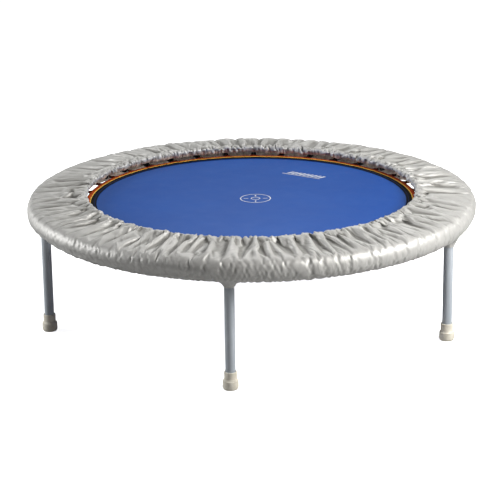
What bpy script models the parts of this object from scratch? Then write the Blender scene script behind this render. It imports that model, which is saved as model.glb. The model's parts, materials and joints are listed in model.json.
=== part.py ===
"""A mini trampoline: a steel ring on five screw-in legs, with a sprung mat and a padded cover.

Units are metres and +Z is up. The feet stand on z = 0 and the ring is centred on the Z axis.
Angles are measured round Z from +X, and -Y is the front.
"""

import math

import bmesh
import bpy
from mathutils import Matrix, Vector

# Ring: a bent steel tube with a welded socket for each leg
RING_RADIUS = 0.496
RING_HEIGHT = 0.2705
TUBE_RADIUS = 0.014
TUBE_WALL = 0.0012
ROUND_STEPS = 60
TUBE_SIDES = 10
HOLLOW_SIDES = 8

# Legs
LEG_COUNT = 5
LEG_START = math.radians(-95.8)
LEG_CIRCLE = 0.482
LEG_RADIUS = 0.011
LEG_WALL = 0.0015
SOCKET_RADIUS = 0.0125
SOCKET_BOTTOM = 0.232
SOCKET_TOP = 0.268
BORE_RADIUS = 0.0053
BORE_TOP = 0.254
STUD_RADIUS = 0.005
STUD_TOP = 0.2505
FOOT_RADIUS = 0.0175
FOOT_SLEEVE_RADIUS = 0.0142
FOOT_HEIGHT = 0.040
FOOT_SOLE = 0.005
FIT_GAP = 0.0003

# Mat and its bound edge
MAT_RADIUS = 0.380
MAT_TOP = 0.283
MAT_THICKNESS = 0.0016
BAND_INNER = 0.368
BAND_OUTER = 0.386
BAND_THICKNESS = 0.0012

# Springs
SPRING_COUNT = 36
SPRING_START = math.radians(9.0)
SPRING_HEIGHT = 0.281
SPRING_INNER = 0.410
SPRING_OUTER = 0.462
COIL_RADIUS = 0.0065
COIL_HOLLOW = 0.0046
WIRE_RADIUS = 0.0012
HOOK_OVERLAP = 0.002
HOOK_TAPER = 0.006
INNER_HOOK_RISE = 0.0048
INNER_HOOK_DROP = 0.0035
OUTER_HOOK_RISE = 0.0032
OUTER_HOOK_RUN = 0.0215
TAB_HALF_WIDTH = 0.011
TAB_EYE = 0.3955
TAB_EYE_RADIUS = 0.003
TAB_EYE_HALF_WIDTH = 0.0062
TAB_NOSE_LENGTH = 0.0055
TAB_NOSE_HALF_WIDTH = 0.003
TAB_OVERLAP = 0.003
ANCHOR_ANGLE = math.radians(130.0)
ANCHOR_RADIUS = 0.0035
ANCHOR_REACH = 0.0095
ANCHOR_DRILL_HALF_LENGTH = 0.004

# Cover and the foam under it
COVER_THICKNESS = 0.002
COVER_SEAM = 0.5030
LEG_NOTCH_RADIUS = 0.0142

MODEL_NAME = "mini_trampoline"


def clear_scene():
    for obj in list(bpy.data.objects):
        bpy.data.objects.remove(obj)


def new_collection(name, hidden=False):
    group = bpy.data.collections.new(name)
    group.hide_render = hidden
    bpy.context.scene.collection.children.link(group)
    return group


def new_material(name, colour, roughness, metallic=0.0):
    made = bpy.data.materials.new(name)
    made.use_nodes = True
    shader = made.node_tree.nodes["Principled BSDF"]
    shader.inputs["Base Color"].default_value = (*colour, 1.0)
    shader.inputs["Roughness"].default_value = roughness
    shader.inputs["Metallic"].default_value = metallic
    return made


def new_object(name, mesh, group, material=None):
    obj = bpy.data.objects.new(name, mesh)
    group.objects.link(obj)
    if material:
        mesh.materials.append(material)
    return obj


def as_cutter(obj):
    obj.hide_render = True
    obj.display_type = "WIRE"
    return obj


def turned(name, profile, group, material, steps=ROUND_STEPS, ring=False):
    """A profile of (radius, height) points turned round Z. A ring's profile is a closed loop."""
    mesh = bpy.data.meshes.new(name)
    edges = [(i, i + 1) for i in range(len(profile) - 1)]
    if ring:
        edges.append((len(profile) - 1, 0))
    mesh.from_pydata([(r, 0.0, z) for r, z in profile], edges, [])
    obj = new_object(name, mesh, group, material)
    screw = obj.modifiers.new("Turn", "SCREW")
    screw.steps = steps
    screw.render_steps = steps
    screw.use_merge_vertices = True
    screw.merge_threshold = 0.00005
    return obj


def cylinder(name, radius, bottom, top, group, sides=20, material=None):
    mesh = bpy.data.meshes.new(name)
    work = bmesh.new()
    middle = Matrix.Translation((0, 0, (bottom + top) / 2))
    bmesh.ops.create_cone(
        work, cap_ends=True, segments=sides, radius1=radius, radius2=radius, depth=top - bottom, matrix=middle
    )
    work.to_mesh(mesh)
    work.free()
    return new_object(name, mesh, group, material)


def baked(obj):
    """The same object as a plain mesh, with its modifiers or its curve made real and its caps welded."""
    bpy.context.view_layer.update()
    graph = bpy.context.evaluated_depsgraph_get()
    mesh = bpy.data.meshes.new_from_object(obj.evaluated_get(graph))
    work = bmesh.new()
    work.from_mesh(mesh)
    bmesh.ops.remove_doubles(work, verts=work.verts, dist=0.00001)
    work.to_mesh(mesh)
    work.free()
    name = obj.name
    group = obj.users_collection[0]
    place = obj.matrix_world.copy()
    bpy.data.objects.remove(obj)
    plain = new_object(name, mesh, group)
    plain.matrix_world = place
    return plain


def boolean(obj, operation, operand):
    """Joins or cuts obj with an object or with all the objects of a collection."""
    change = obj.modifiers.new(operation.title(), "BOOLEAN")
    change.operation = operation
    change.solver = "EXACT"
    if isinstance(operand, bpy.types.Collection):
        change.operand_type = "COLLECTION"
        change.collection = operand
    else:
        change.object = operand


def smooth(obj, angle=35.0):
    obj.data.shade_smooth()
    obj.data.set_sharp_from_angle(angle=math.radians(angle))


def around(radius, angle, height=0.0):
    return Vector((radius * math.cos(angle), radius * math.sin(angle), height))


def leg_angles():
    return [LEG_START + k * math.tau / LEG_COUNT for k in range(LEG_COUNT)]


def spring_angles():
    return [SPRING_START + k * math.tau / SPRING_COUNT for k in range(SPRING_COUNT)]


def torus(name, radius, tube_radius, sides, group, material=None):
    bpy.ops.mesh.primitive_torus_add(
        major_segments=ROUND_STEPS, minor_segments=sides, major_radius=radius, minor_radius=tube_radius
    )
    made = bpy.context.object
    mesh = made.data
    bpy.data.objects.remove(made)
    return new_object(name, mesh, group, material)


def anchor_cutter(name, angle, group):
    """A drill through the tube's upper inner wall, for one spring hook."""
    cutter = cylinder(
        name,
        ANCHOR_RADIUS,
        TUBE_RADIUS - ANCHOR_DRILL_HALF_LENGTH,
        TUBE_RADIUS + ANCHOR_DRILL_HALF_LENGTH,
        group,
        sides=6,
    )
    lean = Matrix.Rotation(math.pi / 2 - ANCHOR_ANGLE, 4, "Y")
    place = Matrix.Translation((RING_RADIUS, 0, RING_HEIGHT))
    cutter.matrix_world = Matrix.Rotation(angle, 4, "Z") @ place @ lean
    return as_cutter(cutter)


def make_ring(group, material):
    sockets = new_collection("socket_blanks", hidden=True)
    drills = new_collection("ring_drills", hidden=True)
    ring = torus("frame_ring", RING_RADIUS, TUBE_RADIUS, TUBE_SIDES, group, material)
    ring.location.z = RING_HEIGHT
    hollow = torus("ring_hollow", RING_RADIUS, TUBE_RADIUS - TUBE_WALL, HOLLOW_SIDES, drills)
    hollow.location.z = RING_HEIGHT
    for number, angle in enumerate(leg_angles(), 1):
        socket = cylinder(f"socket_{number}", SOCKET_RADIUS, SOCKET_BOTTOM, SOCKET_TOP, sockets)
        socket.location = around(LEG_CIRCLE, angle)
        bore = cylinder(f"bore_{number}", BORE_RADIUS, SOCKET_BOTTOM - 0.01, BORE_TOP, drills, sides=12)
        bore.location = around(LEG_CIRCLE, angle)
        as_cutter(socket)
        as_cutter(bore)
    for number, angle in enumerate(spring_angles(), 1):
        anchor_cutter(f"anchor_{number}", angle, drills)
    as_cutter(hollow)
    boolean(ring, "UNION", sockets)
    boolean(ring, "DIFFERENCE", drills)
    return ring


def wire(name, points, group):
    curve = bpy.data.curves.new(name, "CURVE")
    curve.dimensions = "3D"
    curve.bevel_depth = WIRE_RADIUS
    curve.bevel_resolution = 0
    curve.use_fill_caps = True
    line = curve.splines.new("POLY")
    line.points.add(len(points) - 1)
    for point, (x, z) in zip(line.points, points):
        point.co = (x, 0.0, z, 1.0)
    obj = bpy.data.objects.new(name, curve)
    group.objects.link(obj)
    return obj


def spring_mesh(material):
    """One spring along +X: the coil as a hollow barrel, with a hook wire at each end.

    The mesh's origin is the middle of the barrel. Heights are from the barrel's axis.
    """
    blanks = new_collection("spring_blanks", hidden=True)
    middle = (SPRING_INNER + SPRING_OUTER) / 2
    half = (SPRING_OUTER - SPRING_INNER) / 2
    wall = (COIL_RADIUS + COIL_HOLLOW) / 2
    anchor_in = RING_RADIUS + ANCHOR_REACH * math.cos(ANCHOR_ANGLE)
    anchor_drop = RING_HEIGHT + ANCHOR_REACH * math.sin(ANCHOR_ANGLE) - SPRING_HEIGHT
    barrel_profile = [(COIL_RADIUS, half), (COIL_RADIUS, -half), (COIL_HOLLOW, -half), (COIL_HOLLOW, half)]
    barrel = turned("barrel", barrel_profile, blanks, material, steps=6, ring=True)
    barrel = baked(barrel)
    barrel.data.transform(Matrix.Rotation(math.pi / 2, 4, "Y"))
    outer_points = [
        (half - HOOK_OVERLAP, wall),
        (half + HOOK_TAPER, OUTER_HOOK_RISE),
        (half + OUTER_HOOK_RUN, OUTER_HOOK_RISE),
        (anchor_in - middle, anchor_drop),
    ]
    inner_points = [
        (-half + HOOK_OVERLAP, wall),
        (-half - HOOK_TAPER, INNER_HOOK_RISE),
        (TAB_EYE + 0.0008 - middle, INNER_HOOK_RISE),
        (TAB_EYE - 0.0004 - middle, -INNER_HOOK_DROP),
    ]
    hooks = [baked(wire("outer_hook", outer_points, blanks)), baked(wire("inner_hook", inner_points, blanks))]
    for hook in hooks:
        boolean(barrel, "UNION", as_cutter(hook))
    return as_cutter(baked(barrel)).data


def make_springs(group, material):
    mesh = spring_mesh(material)
    for number, angle in enumerate(spring_angles(), 1):
        spring = new_object(f"spring_{number:02d}", mesh, group)
        spring.location = around((SPRING_INNER + SPRING_OUTER) / 2, angle, SPRING_HEIGHT)
        spring.rotation_euler.z = angle


def make_mat(group, material):
    return cylinder(
        "jumping_mat", MAT_RADIUS, MAT_TOP - MAT_THICKNESS, MAT_TOP, group, sides=ROUND_STEPS, material=material
    )


def tab_blank(name, angle, height, group):
    """A flat webbing tab that narrows outwards to a round eye for a spring hook."""
    curve = bpy.data.curves.new(name, "CURVE")
    curve.dimensions = "2D"
    curve.fill_mode = "BOTH"
    curve.extrude = BAND_THICKNESS
    root = BAND_OUTER - TAB_OVERLAP
    nose = TAB_EYE + TAB_NOSE_LENGTH
    outline = [
        (root, -TAB_HALF_WIDTH),
        (TAB_EYE, -TAB_EYE_HALF_WIDTH),
        (nose, -TAB_NOSE_HALF_WIDTH),
        (nose, TAB_NOSE_HALF_WIDTH),
        (TAB_EYE, TAB_EYE_HALF_WIDTH),
        (root, TAB_HALF_WIDTH),
    ]
    turns = [k * math.tau / 8 for k in range(8)]
    eye = [(TAB_EYE + TAB_EYE_RADIUS * math.cos(t), TAB_EYE_RADIUS * math.sin(t)) for t in turns]
    for points in (outline, eye):
        line = curve.splines.new("POLY")
        line.points.add(len(points) - 1)
        line.use_cyclic_u = True
        for point, (x, y) in zip(line.points, points):
            point.co = (x, y, 0.0, 1.0)
    obj = bpy.data.objects.new(name, curve)
    group.objects.link(obj)
    obj.location.z = height
    obj.rotation_euler.z = angle
    return as_cutter(baked(obj))


def make_band(group, material):
    """The webbing folded over the mat's edge, with a tab for each spring."""
    tabs = new_collection("tab_blanks", hidden=True)
    mat_bottom = MAT_TOP - MAT_THICKNESS
    upper = MAT_TOP + FIT_GAP
    lower = mat_bottom - FIT_GAP
    profile = [
        (BAND_INNER, upper + BAND_THICKNESS),
        (BAND_OUTER, upper + BAND_THICKNESS),
        (BAND_OUTER, lower - BAND_THICKNESS),
        (BAND_INNER, lower - BAND_THICKNESS),
        (BAND_INNER, lower),
        (MAT_RADIUS + FIT_GAP, lower),
        (MAT_RADIUS + FIT_GAP, upper),
        (BAND_INNER, upper),
    ]
    band = turned("mat_edge_band", profile, group, material, ring=True)
    for number, angle in enumerate(spring_angles(), 1):
        tab_blank(f"tab_{number}", angle, (MAT_TOP + mat_bottom) / 2, tabs)
    boolean(band, "UNION", tabs)
    return band


def make_foam(group, material):
    """The foam rim pad, which lies over the springs and turns down outside the tube."""
    profile = [
        (0.3920, 0.2955),
        (0.5020, 0.2955),
        (0.5130, 0.2880),
        (0.5165, 0.2740),
        (0.5150, 0.2630),
        (0.5115, 0.2630),
        (0.5105, 0.2800),
        (0.4980, 0.2882),
        (0.3920, 0.2882),
    ]
    return turned("foam_rim_pad", profile, group, material, ring=True)


def inset(points, distance):
    """The same line moved to its right-hand side, which is the inside of the cover."""
    moved = []
    for i, point in enumerate(points):
        before = Vector(points[max(i - 1, 0)])
        after = Vector(points[min(i + 1, len(points) - 1)])
        along = (after - before).normalized()
        moved.append((point[0] + along.y * distance, point[1] - along.x * distance))
    return moved


def make_cover_top(group, material):
    """The flat panel over the springs, with its raised elastic edge towards the mat."""
    outer = [
        (0.3810, 0.3100),
        (0.3880, 0.3050),
        (0.3980, 0.3015),
        (0.4150, 0.2985),
        (COVER_SEAM, 0.2985),
    ]
    profile = outer + inset(outer, COVER_THICKNESS)[::-1]
    return turned("cover_top_panel", profile, group, material, ring=True)


def make_cover_skirt(group, material):
    """The outer panel, which rolls over the foam and tucks in under the tube, open at each leg."""
    notches = new_collection("cover_notches", hidden=True)
    outer = [
        (COVER_SEAM + FIT_GAP, 0.2985),
        (0.5050, 0.2982),
        (0.5150, 0.2910),
        (0.5200, 0.2730),
        (0.5150, 0.2540),
        (0.5010, 0.2440),
        (0.4885, 0.2425),
    ]
    inner = inset(outer, COVER_THICKNESS)
    inner[0] = (COVER_SEAM + FIT_GAP, inner[0][1])
    skirt = turned("cover_skirt", outer + inner[::-1], group, material, ring=True)
    for number, angle in enumerate(leg_angles(), 1):
        notch = cylinder(f"notch_{number}", LEG_NOTCH_RADIUS, SOCKET_BOTTOM, 0.262, notches)
        notch.location = around(LEG_CIRCLE, angle)
        as_cutter(notch)
    boolean(skirt, "DIFFERENCE", notches)
    return skirt


def leg_tube_profile():
    bottom = FOOT_SOLE + FIT_GAP
    top = SOCKET_BOTTOM - 0.0025
    inner = LEG_RADIUS - LEG_WALL
    return [(LEG_RADIUS, top), (LEG_RADIUS, bottom), (inner, bottom), (inner, top)]


def stud_profile():
    """A plug for the tube's top, with a flange that seats on the socket and the screw above it."""
    plug = LEG_RADIUS - LEG_WALL - FIT_GAP
    flange_top = SOCKET_BOTTOM - FIT_GAP
    flange_bottom = SOCKET_BOTTOM - 0.0025 + FIT_GAP
    plug_bottom = SOCKET_BOTTOM - 0.020
    return [
        (0.0, STUD_TOP),
        (STUD_RADIUS - 0.001, STUD_TOP),
        (STUD_RADIUS, STUD_TOP - 0.001),
        (STUD_RADIUS, flange_top),
        (LEG_RADIUS, flange_top),
        (LEG_RADIUS, flange_bottom),
        (plug, flange_bottom),
        (plug, plug_bottom),
        (0.0, plug_bottom),
    ]


def foot_profile():
    """A rubber cup in two steps, with a small ridge between them and a rounded sole."""
    hole = LEG_RADIUS + FIT_GAP
    return [
        (0.0, FOOT_SOLE),
        (hole, FOOT_SOLE),
        (hole, FOOT_HEIGHT),
        (FOOT_SLEEVE_RADIUS - 0.001, FOOT_HEIGHT),
        (FOOT_SLEEVE_RADIUS, FOOT_HEIGHT - 0.0015),
        (FOOT_SLEEVE_RADIUS, 0.0215),
        (FOOT_RADIUS, 0.0185),
        (FOOT_RADIUS, 0.0040),
        (FOOT_RADIUS - 0.003, 0.0),
        (0.0, 0.0),
    ]


def make_leg(number, angle, group, tube_material, stud_material, foot_material):
    """One leg on its own axis: everything hangs on an empty that stands on the joint's axis."""
    axis = bpy.data.objects.new(f"leg_{number}_axis", None)
    group.objects.link(axis)
    axis.location = around(LEG_CIRCLE, angle)
    axis.rotation_euler.z = angle
    tube = turned(f"leg_{number}_tube", leg_tube_profile(), group, tube_material, steps=16, ring=True)
    stud = turned(f"leg_{number}_stud", stud_profile(), group, stud_material, steps=12)
    foot = turned(f"leg_{number}_foot", foot_profile(), group, foot_material, steps=16)
    for piece in (tube, stud, foot):
        piece.parent = axis


def build():
    clear_scene()
    group = new_collection(MODEL_NAME)
    steel = new_material("grey_powder_coat", (0.36, 0.39, 0.42), 0.38, 0.25)
    zinc = new_material("zinc_steel", (0.62, 0.62, 0.60), 0.35, 0.9)
    dark_wire = new_material("dark_spring_steel", (0.05, 0.05, 0.055), 0.35, 0.8)
    rubber = new_material("cream_rubber", (0.52, 0.48, 0.39), 0.62)
    mat_cloth = new_material("blue_mat_fabric", (0.06, 0.16, 0.43), 0.75)
    webbing = new_material("rust_webbing", (0.50, 0.13, 0.05), 0.8)
    foam = new_material("white_foam", (0.75, 0.73, 0.68), 0.95)
    satin = new_material("silver_satin", (0.58, 0.57, 0.56), 0.4, 0.2)
    make_ring(group, steel)
    make_springs(group, dark_wire)
    make_mat(group, mat_cloth)
    make_band(group, webbing)
    make_foam(group, foam)
    make_cover_top(group, satin)
    make_cover_skirt(group, satin)
    for number, angle in enumerate(leg_angles(), 1):
        make_leg(number, angle, group, steel, zinc, rubber)
    for obj in group.objects:
        if obj.type == "MESH":
            smooth(obj)


build()
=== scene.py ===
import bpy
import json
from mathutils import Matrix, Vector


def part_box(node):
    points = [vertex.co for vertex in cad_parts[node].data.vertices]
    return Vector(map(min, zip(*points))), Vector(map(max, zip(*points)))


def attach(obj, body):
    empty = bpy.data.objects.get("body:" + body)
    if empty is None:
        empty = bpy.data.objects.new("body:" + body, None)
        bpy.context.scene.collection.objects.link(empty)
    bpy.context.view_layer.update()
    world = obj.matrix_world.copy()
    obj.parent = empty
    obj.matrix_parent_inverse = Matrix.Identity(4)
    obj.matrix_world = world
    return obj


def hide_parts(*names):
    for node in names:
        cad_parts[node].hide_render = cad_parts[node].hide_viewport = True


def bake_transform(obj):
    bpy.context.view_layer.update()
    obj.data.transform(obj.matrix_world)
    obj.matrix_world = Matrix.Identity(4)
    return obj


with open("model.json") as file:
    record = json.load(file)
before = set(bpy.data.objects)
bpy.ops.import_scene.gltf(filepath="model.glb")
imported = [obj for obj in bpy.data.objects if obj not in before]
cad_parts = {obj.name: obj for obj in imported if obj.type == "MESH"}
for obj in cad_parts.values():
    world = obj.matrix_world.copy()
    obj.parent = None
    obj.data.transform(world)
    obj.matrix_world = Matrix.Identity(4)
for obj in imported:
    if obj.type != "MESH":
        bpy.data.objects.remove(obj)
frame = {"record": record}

"""The looks of a mini trampoline: gathered silver rim cover, blue sprung mat, grey legs, cream feet.

Lengths are metres and +Z is up. Angles run round Z from +X; -Y is the front. A turned or gathered
surface is a grid of rows, one row for each point of its profile and one column for each angle.
"""

import json
import math

import bpy
import numpy as np
from mathutils import Matrix, Vector, noise

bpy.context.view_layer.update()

MM = 0.001
LEG_MOUNTS = [m for m in frame["record"]["mounts"] if m["name"].endswith("_sole")]
LEG_PLACES = [Vector((m["pos_m"][0], m["pos_m"][1], 0.0)) for m in LEG_MOUNTS]
LEG_ANGLES = [math.atan2(p.y, p.x) for p in LEG_PLACES]
LEG_CIRCLE = LEG_PLACES[0].length

RING_LOW, RING_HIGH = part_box("frame_ring")
TUBE_RADIUS = 14 * MM
RING_RADIUS = RING_HIGH[0] - TUBE_RADIUS
RING_HEIGHT = RING_HIGH[2] - TUBE_RADIUS
SOCKET_BOTTOM = RING_LOW[2]
SOCKET_RADIUS = 12.5 * MM
MAT_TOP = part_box("jumping_mat")[1][2]
MAT_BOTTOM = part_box("jumping_mat")[0][2]
MAT_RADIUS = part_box("jumping_mat")[1][0]
BAND_OUTER = 386 * MM
TUBE_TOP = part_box("leg_1_tube")[1][2]
TUBE_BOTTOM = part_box("leg_1_tube")[0][2]
LEG_RADIUS = 11 * MM
STUD_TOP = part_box("leg_1_stud")[1][2]
SPRING_COUNT = 36
SPRING_NAMES = [f"spring_{k + 1:02d}" for k in range(SPRING_COUNT)]
SPRING_HEIGHT = 281 * MM


# ---------------------------------------------------------------- meshes

def grid_faces(rows, columns, close_rows=False):
    """Quads of a grid whose columns go all the way round. The last row meets the first if asked."""
    row = np.arange(rows if close_rows else rows - 1)[:, None]
    column = np.arange(columns)[None, :]
    here = row * columns + column
    right = row * columns + (column + 1) % columns
    below = ((row + 1) % rows) * columns
    return np.stack([here, right, below + (column + 1) % columns, below + column], -1).reshape(-1, 4)


def new_piece(name, points, faces, material, body, smooth=True):
    """One piece as a mesh with its material, on its body."""
    mesh = bpy.data.meshes.new(name)
    mesh.from_pydata(np.asarray(points).reshape(-1, 3).tolist(), [], [list(face) for face in faces])
    mesh.materials.append(material)
    if smooth:
        mesh.shade_smooth()
    mesh.update()
    obj = bpy.data.objects.new(name, mesh)
    bpy.context.scene.collection.objects.link(obj)
    if body:
        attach(obj, body)
    return obj


def cap_faces(first, count, flip):
    ring = list(range(first, first + count))
    return ring[::-1] if flip else ring


def turned_points(profile, columns, centre=(0.0, 0.0)):
    """Rows of points of a profile of (radius, height) turned round a vertical axis."""
    angle = np.arange(columns) * math.tau / columns
    profile = np.asarray(profile, float)
    x = centre[0] + profile[:, :1] * np.cos(angle)
    y = centre[1] + profile[:, :1] * np.sin(angle)
    z = np.repeat(profile[:, 1:], columns, axis=1)
    return np.stack([x, y, z], -1)


def turned(name, profile, columns, material, body, centre=(0.0, 0.0), ring=False):
    """A turned solid. A ring's profile is a loop; another profile is capped at both ends."""
    points = turned_points(profile, columns, centre)
    rows = len(profile)
    faces = grid_faces(rows, columns, ring)[:, ::-1].tolist()
    if not ring:
        faces.append(cap_faces(0, columns, False))
        faces.append(cap_faces((rows - 1) * columns, columns, True))
    return new_piece(name, points, faces, material, body)


def swept(paths, radius, sides):
    """Points and faces of tubes along open paths, with closed ends, as one mesh."""
    points, faces = [], []
    turn = np.arange(sides) * math.tau / sides
    for path in paths:
        path = np.asarray(path, float)
        along = np.gradient(path, axis=0)
        along /= np.linalg.norm(along, axis=1)[:, None]
        side = np.cross(along[0], (0.31, 0.17, 0.93))
        start = sum(len(p) for p in points)
        rings = []
        for place, way in zip(path, along):
            side = side - way * (side @ way)
            side /= np.linalg.norm(side)
            other = np.cross(way, side)
            rings.append(place + radius * (np.outer(np.cos(turn), side) + np.outer(np.sin(turn), other)))
        count = len(path)
        points.append(np.concatenate(rings))
        faces += (grid_faces(count, sides) + start).tolist()
        faces.append(cap_faces(start, sides, True))
        faces.append(cap_faces(start + (count - 1) * sides, sides, False))
    return np.concatenate(points), faces


def catmull_rom(a, b, c, d, t):
    """A point between b and c on the smooth curve through four points, at t from 0 to 1."""
    return 0.5 * (2 * b + (c - a) * t + (2 * a - 5 * b + 4 * c - d) * t**2 + (3 * b - a - 3 * c + d) * t**3)


def smooth_path(points, steps):
    """A Catmull-Rom curve through the points, with so many steps between two of them."""
    points = np.asarray(points, float)
    ends = np.vstack([2 * points[0] - points[1], points, 2 * points[-1] - points[-2]])
    found = []
    for i in range(len(points) - 1):
        for t in np.arange(steps) / steps:
            found.append(catmull_rom(*ends[i:i + 4], t))
    found.append(points[-1])
    return np.array(found)


def rounded(profile, radius, steps=3):
    """An open profile with each inner corner rounded to about the radius."""
    profile = [Vector(p) for p in profile]
    found = [profile[0]]
    for before, corner, after in zip(profile, profile[1:], profile[2:]):
        back = (before - corner).normalized() * min(radius, (before - corner).length * 0.45)
        forth = (after - corner).normalized() * min(radius, (after - corner).length * 0.45)
        for k in range(steps + 1):
            t = k / steps
            found.append(corner + back * (1 - t) ** 2 + forth * t**2)
    found.append(profile[-1])
    return [(p.x, p.y) for p in found]


def turned_about(points, angle):
    """The points turned round Z."""
    c, s = math.cos(angle), math.sin(angle)
    points = np.asarray(points)
    x, y = points[..., 0], points[..., 1]
    return np.stack([x * c - y * s, x * s + y * c, points[..., 2]], -1)


# ---------------------------------------------------------------- materials

# The cover's creases: how far they are drawn out, the radius they are laid round, where they fade
CREASE_STRETCH = 0.2
CREASE_RADIUS = 450 * MM
CREASES_FADE_FROM = 145 * MM
CREASES_FADE_TO = 170 * MM


def shader(name, roughness=0.5, metallic=0.0, sheen=0.0, coat=0.0, specular=0.5):
    made = bpy.data.materials.new(name)
    made.use_nodes = True
    main = made.node_tree.nodes["Principled BSDF"]
    main.inputs["Roughness"].default_value = roughness
    main.inputs["Metallic"].default_value = metallic
    main.inputs["Sheen Weight"].default_value = sheen
    main.inputs["Coat Weight"].default_value = coat
    main.inputs["Specular IOR Level"].default_value = specular
    return made, made.node_tree, main


def add(tree, kind, **settings):
    node = tree.nodes.new(kind)
    for key, value in settings.items():
        if key in node.inputs:
            node.inputs[key].default_value = value
        else:
            setattr(node, key, value)
    return node


def noise_of(tree, scale, detail=4.0, roughness=0.55, stretch=(1, 1, 1)):
    place = add(tree, "ShaderNodeTexCoord")
    size = add(tree, "ShaderNodeMapping")
    size.inputs["Scale"].default_value = stretch
    grain = add(tree, "ShaderNodeTexNoise", Scale=scale, Detail=detail, Roughness=roughness)
    tree.links.new(place.outputs["Object"], size.inputs["Vector"])
    tree.links.new(size.outputs["Vector"], grain.inputs["Vector"])
    return grain.outputs["Fac"]


def colours_of(tree, factor, stops):
    ramp = add(tree, "ShaderNodeValToRGB")
    while len(ramp.color_ramp.elements) < len(stops):
        ramp.color_ramp.elements.new(0.5)
    for element, (place, colour) in zip(ramp.color_ramp.elements, stops):
        element.position = place
        element.color = (*colour, 1.0)
    tree.links.new(factor, ramp.inputs["Fac"])
    return ramp.outputs["Color"]


def threads_of(tree, period, direction):
    """Waves of one thread direction, with the given period in metres."""
    place = add(tree, "ShaderNodeTexCoord")
    wave = add(tree, "ShaderNodeTexWave", wave_type="BANDS", bands_direction=direction)
    wave.inputs["Scale"].default_value = math.tau / (20 * period)
    wave.inputs["Distortion"].default_value = 0.6
    wave.inputs["Detail Scale"].default_value = 3.0
    tree.links.new(place.outputs["Object"], wave.inputs["Vector"])
    return wave.outputs["Fac"]


def combine(tree, first, second, operation="MULTIPLY"):
    node = add(tree, "ShaderNodeMath", operation=operation)
    tree.links.new(first, node.inputs[0])
    tree.links.new(second, node.inputs[1])
    return node.outputs[0]


def bump(tree, main, height, distance, strength=1.0, below=None):
    node = add(tree, "ShaderNodeBump", Strength=strength, Distance=distance)
    tree.links.new(height, node.inputs["Height"])
    if below:
        tree.links.new(below, node.inputs["Normal"])
    tree.links.new(node.outputs["Normal"], main.inputs["Normal"])
    return node.outputs["Normal"]


def ranged(tree, value, before, after, shape="LINEAR"):
    """A value that runs over one range, mapped to another and clamped to it."""
    node = add(tree, "ShaderNodeMapRange", interpolation_type=shape)
    node.inputs["From Min"].default_value, node.inputs["From Max"].default_value = before
    node.inputs["To Min"].default_value, node.inputs["To Max"].default_value = after
    tree.links.new(value, node.inputs["Value"])
    return node.outputs["Result"]


def rough(tree, main, factor, low, high):
    tree.links.new(ranged(tree, factor, (0.0, 1.0), (low, high)), main.inputs["Roughness"])


def woven(name, dark, light, period, roughness=0.8, sheen=0.2, patch=9.0, depth=0.00025, **more):
    """Cloth: two thread directions in relief, and a colour that drifts between two shades."""
    made, tree, main = shader(name, roughness, sheen=sheen, **more)
    drift = noise_of(tree, patch, 5.0)
    weave = combine(tree, threads_of(tree, period, "X"), threads_of(tree, period, "Y"))
    mixed = combine(tree, drift, weave, "ADD")
    half = add(tree, "ShaderNodeMath", operation="MULTIPLY")
    half.inputs[1].default_value = 0.55
    tree.links.new(mixed, half.inputs[0])
    colour = colours_of(tree, half.outputs[0], [(0.25, dark), (0.75, light)])
    tree.links.new(colour, main.inputs["Base Color"])
    bump(tree, main, weave, depth, 0.5)
    return made


def tape(name, dark, light, period=0.0014, roughness=0.85, specular=0.1):
    """Matt woven tape."""
    return woven(name, dark, light, period, roughness, 0.0, 25.0, specular=specular)


def long_creases(tree):
    """Sharp ridges that run across the cover's strip of cloth and fade out on the outer roll."""
    strip = add(tree, "ShaderNodeAttribute", attribute_name="strip").outputs["Vector"]
    wandering = add(tree, "ShaderNodeTexNoise", Scale=75.0, Detail=2.0)
    tree.links.new(strip, wandering.inputs["Vector"])
    centred = add(tree, "ShaderNodeMath", operation="SUBTRACT")
    centred.inputs[1].default_value = 0.5
    tree.links.new(wandering.outputs["Fac"], centred.inputs[0])
    beside = add(tree, "ShaderNodeMath", operation="ABSOLUTE")
    tree.links.new(centred.outputs[0], beside.inputs[0])
    ridge = ranged(tree, beside.outputs[0], (0.0, 0.22), (1.0, 0.0), "SMOOTHERSTEP")
    along = add(tree, "ShaderNodeSeparateXYZ")
    tree.links.new(strip, along.inputs["Vector"])
    fade = (CREASE_STRETCH * CREASES_FADE_FROM, CREASE_STRETCH * CREASES_FADE_TO)
    fading = ranged(tree, along.outputs["Z"], fade, (1.0, 0.12), "SMOOTHSTEP")
    return combine(tree, ridge, fading)


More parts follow.
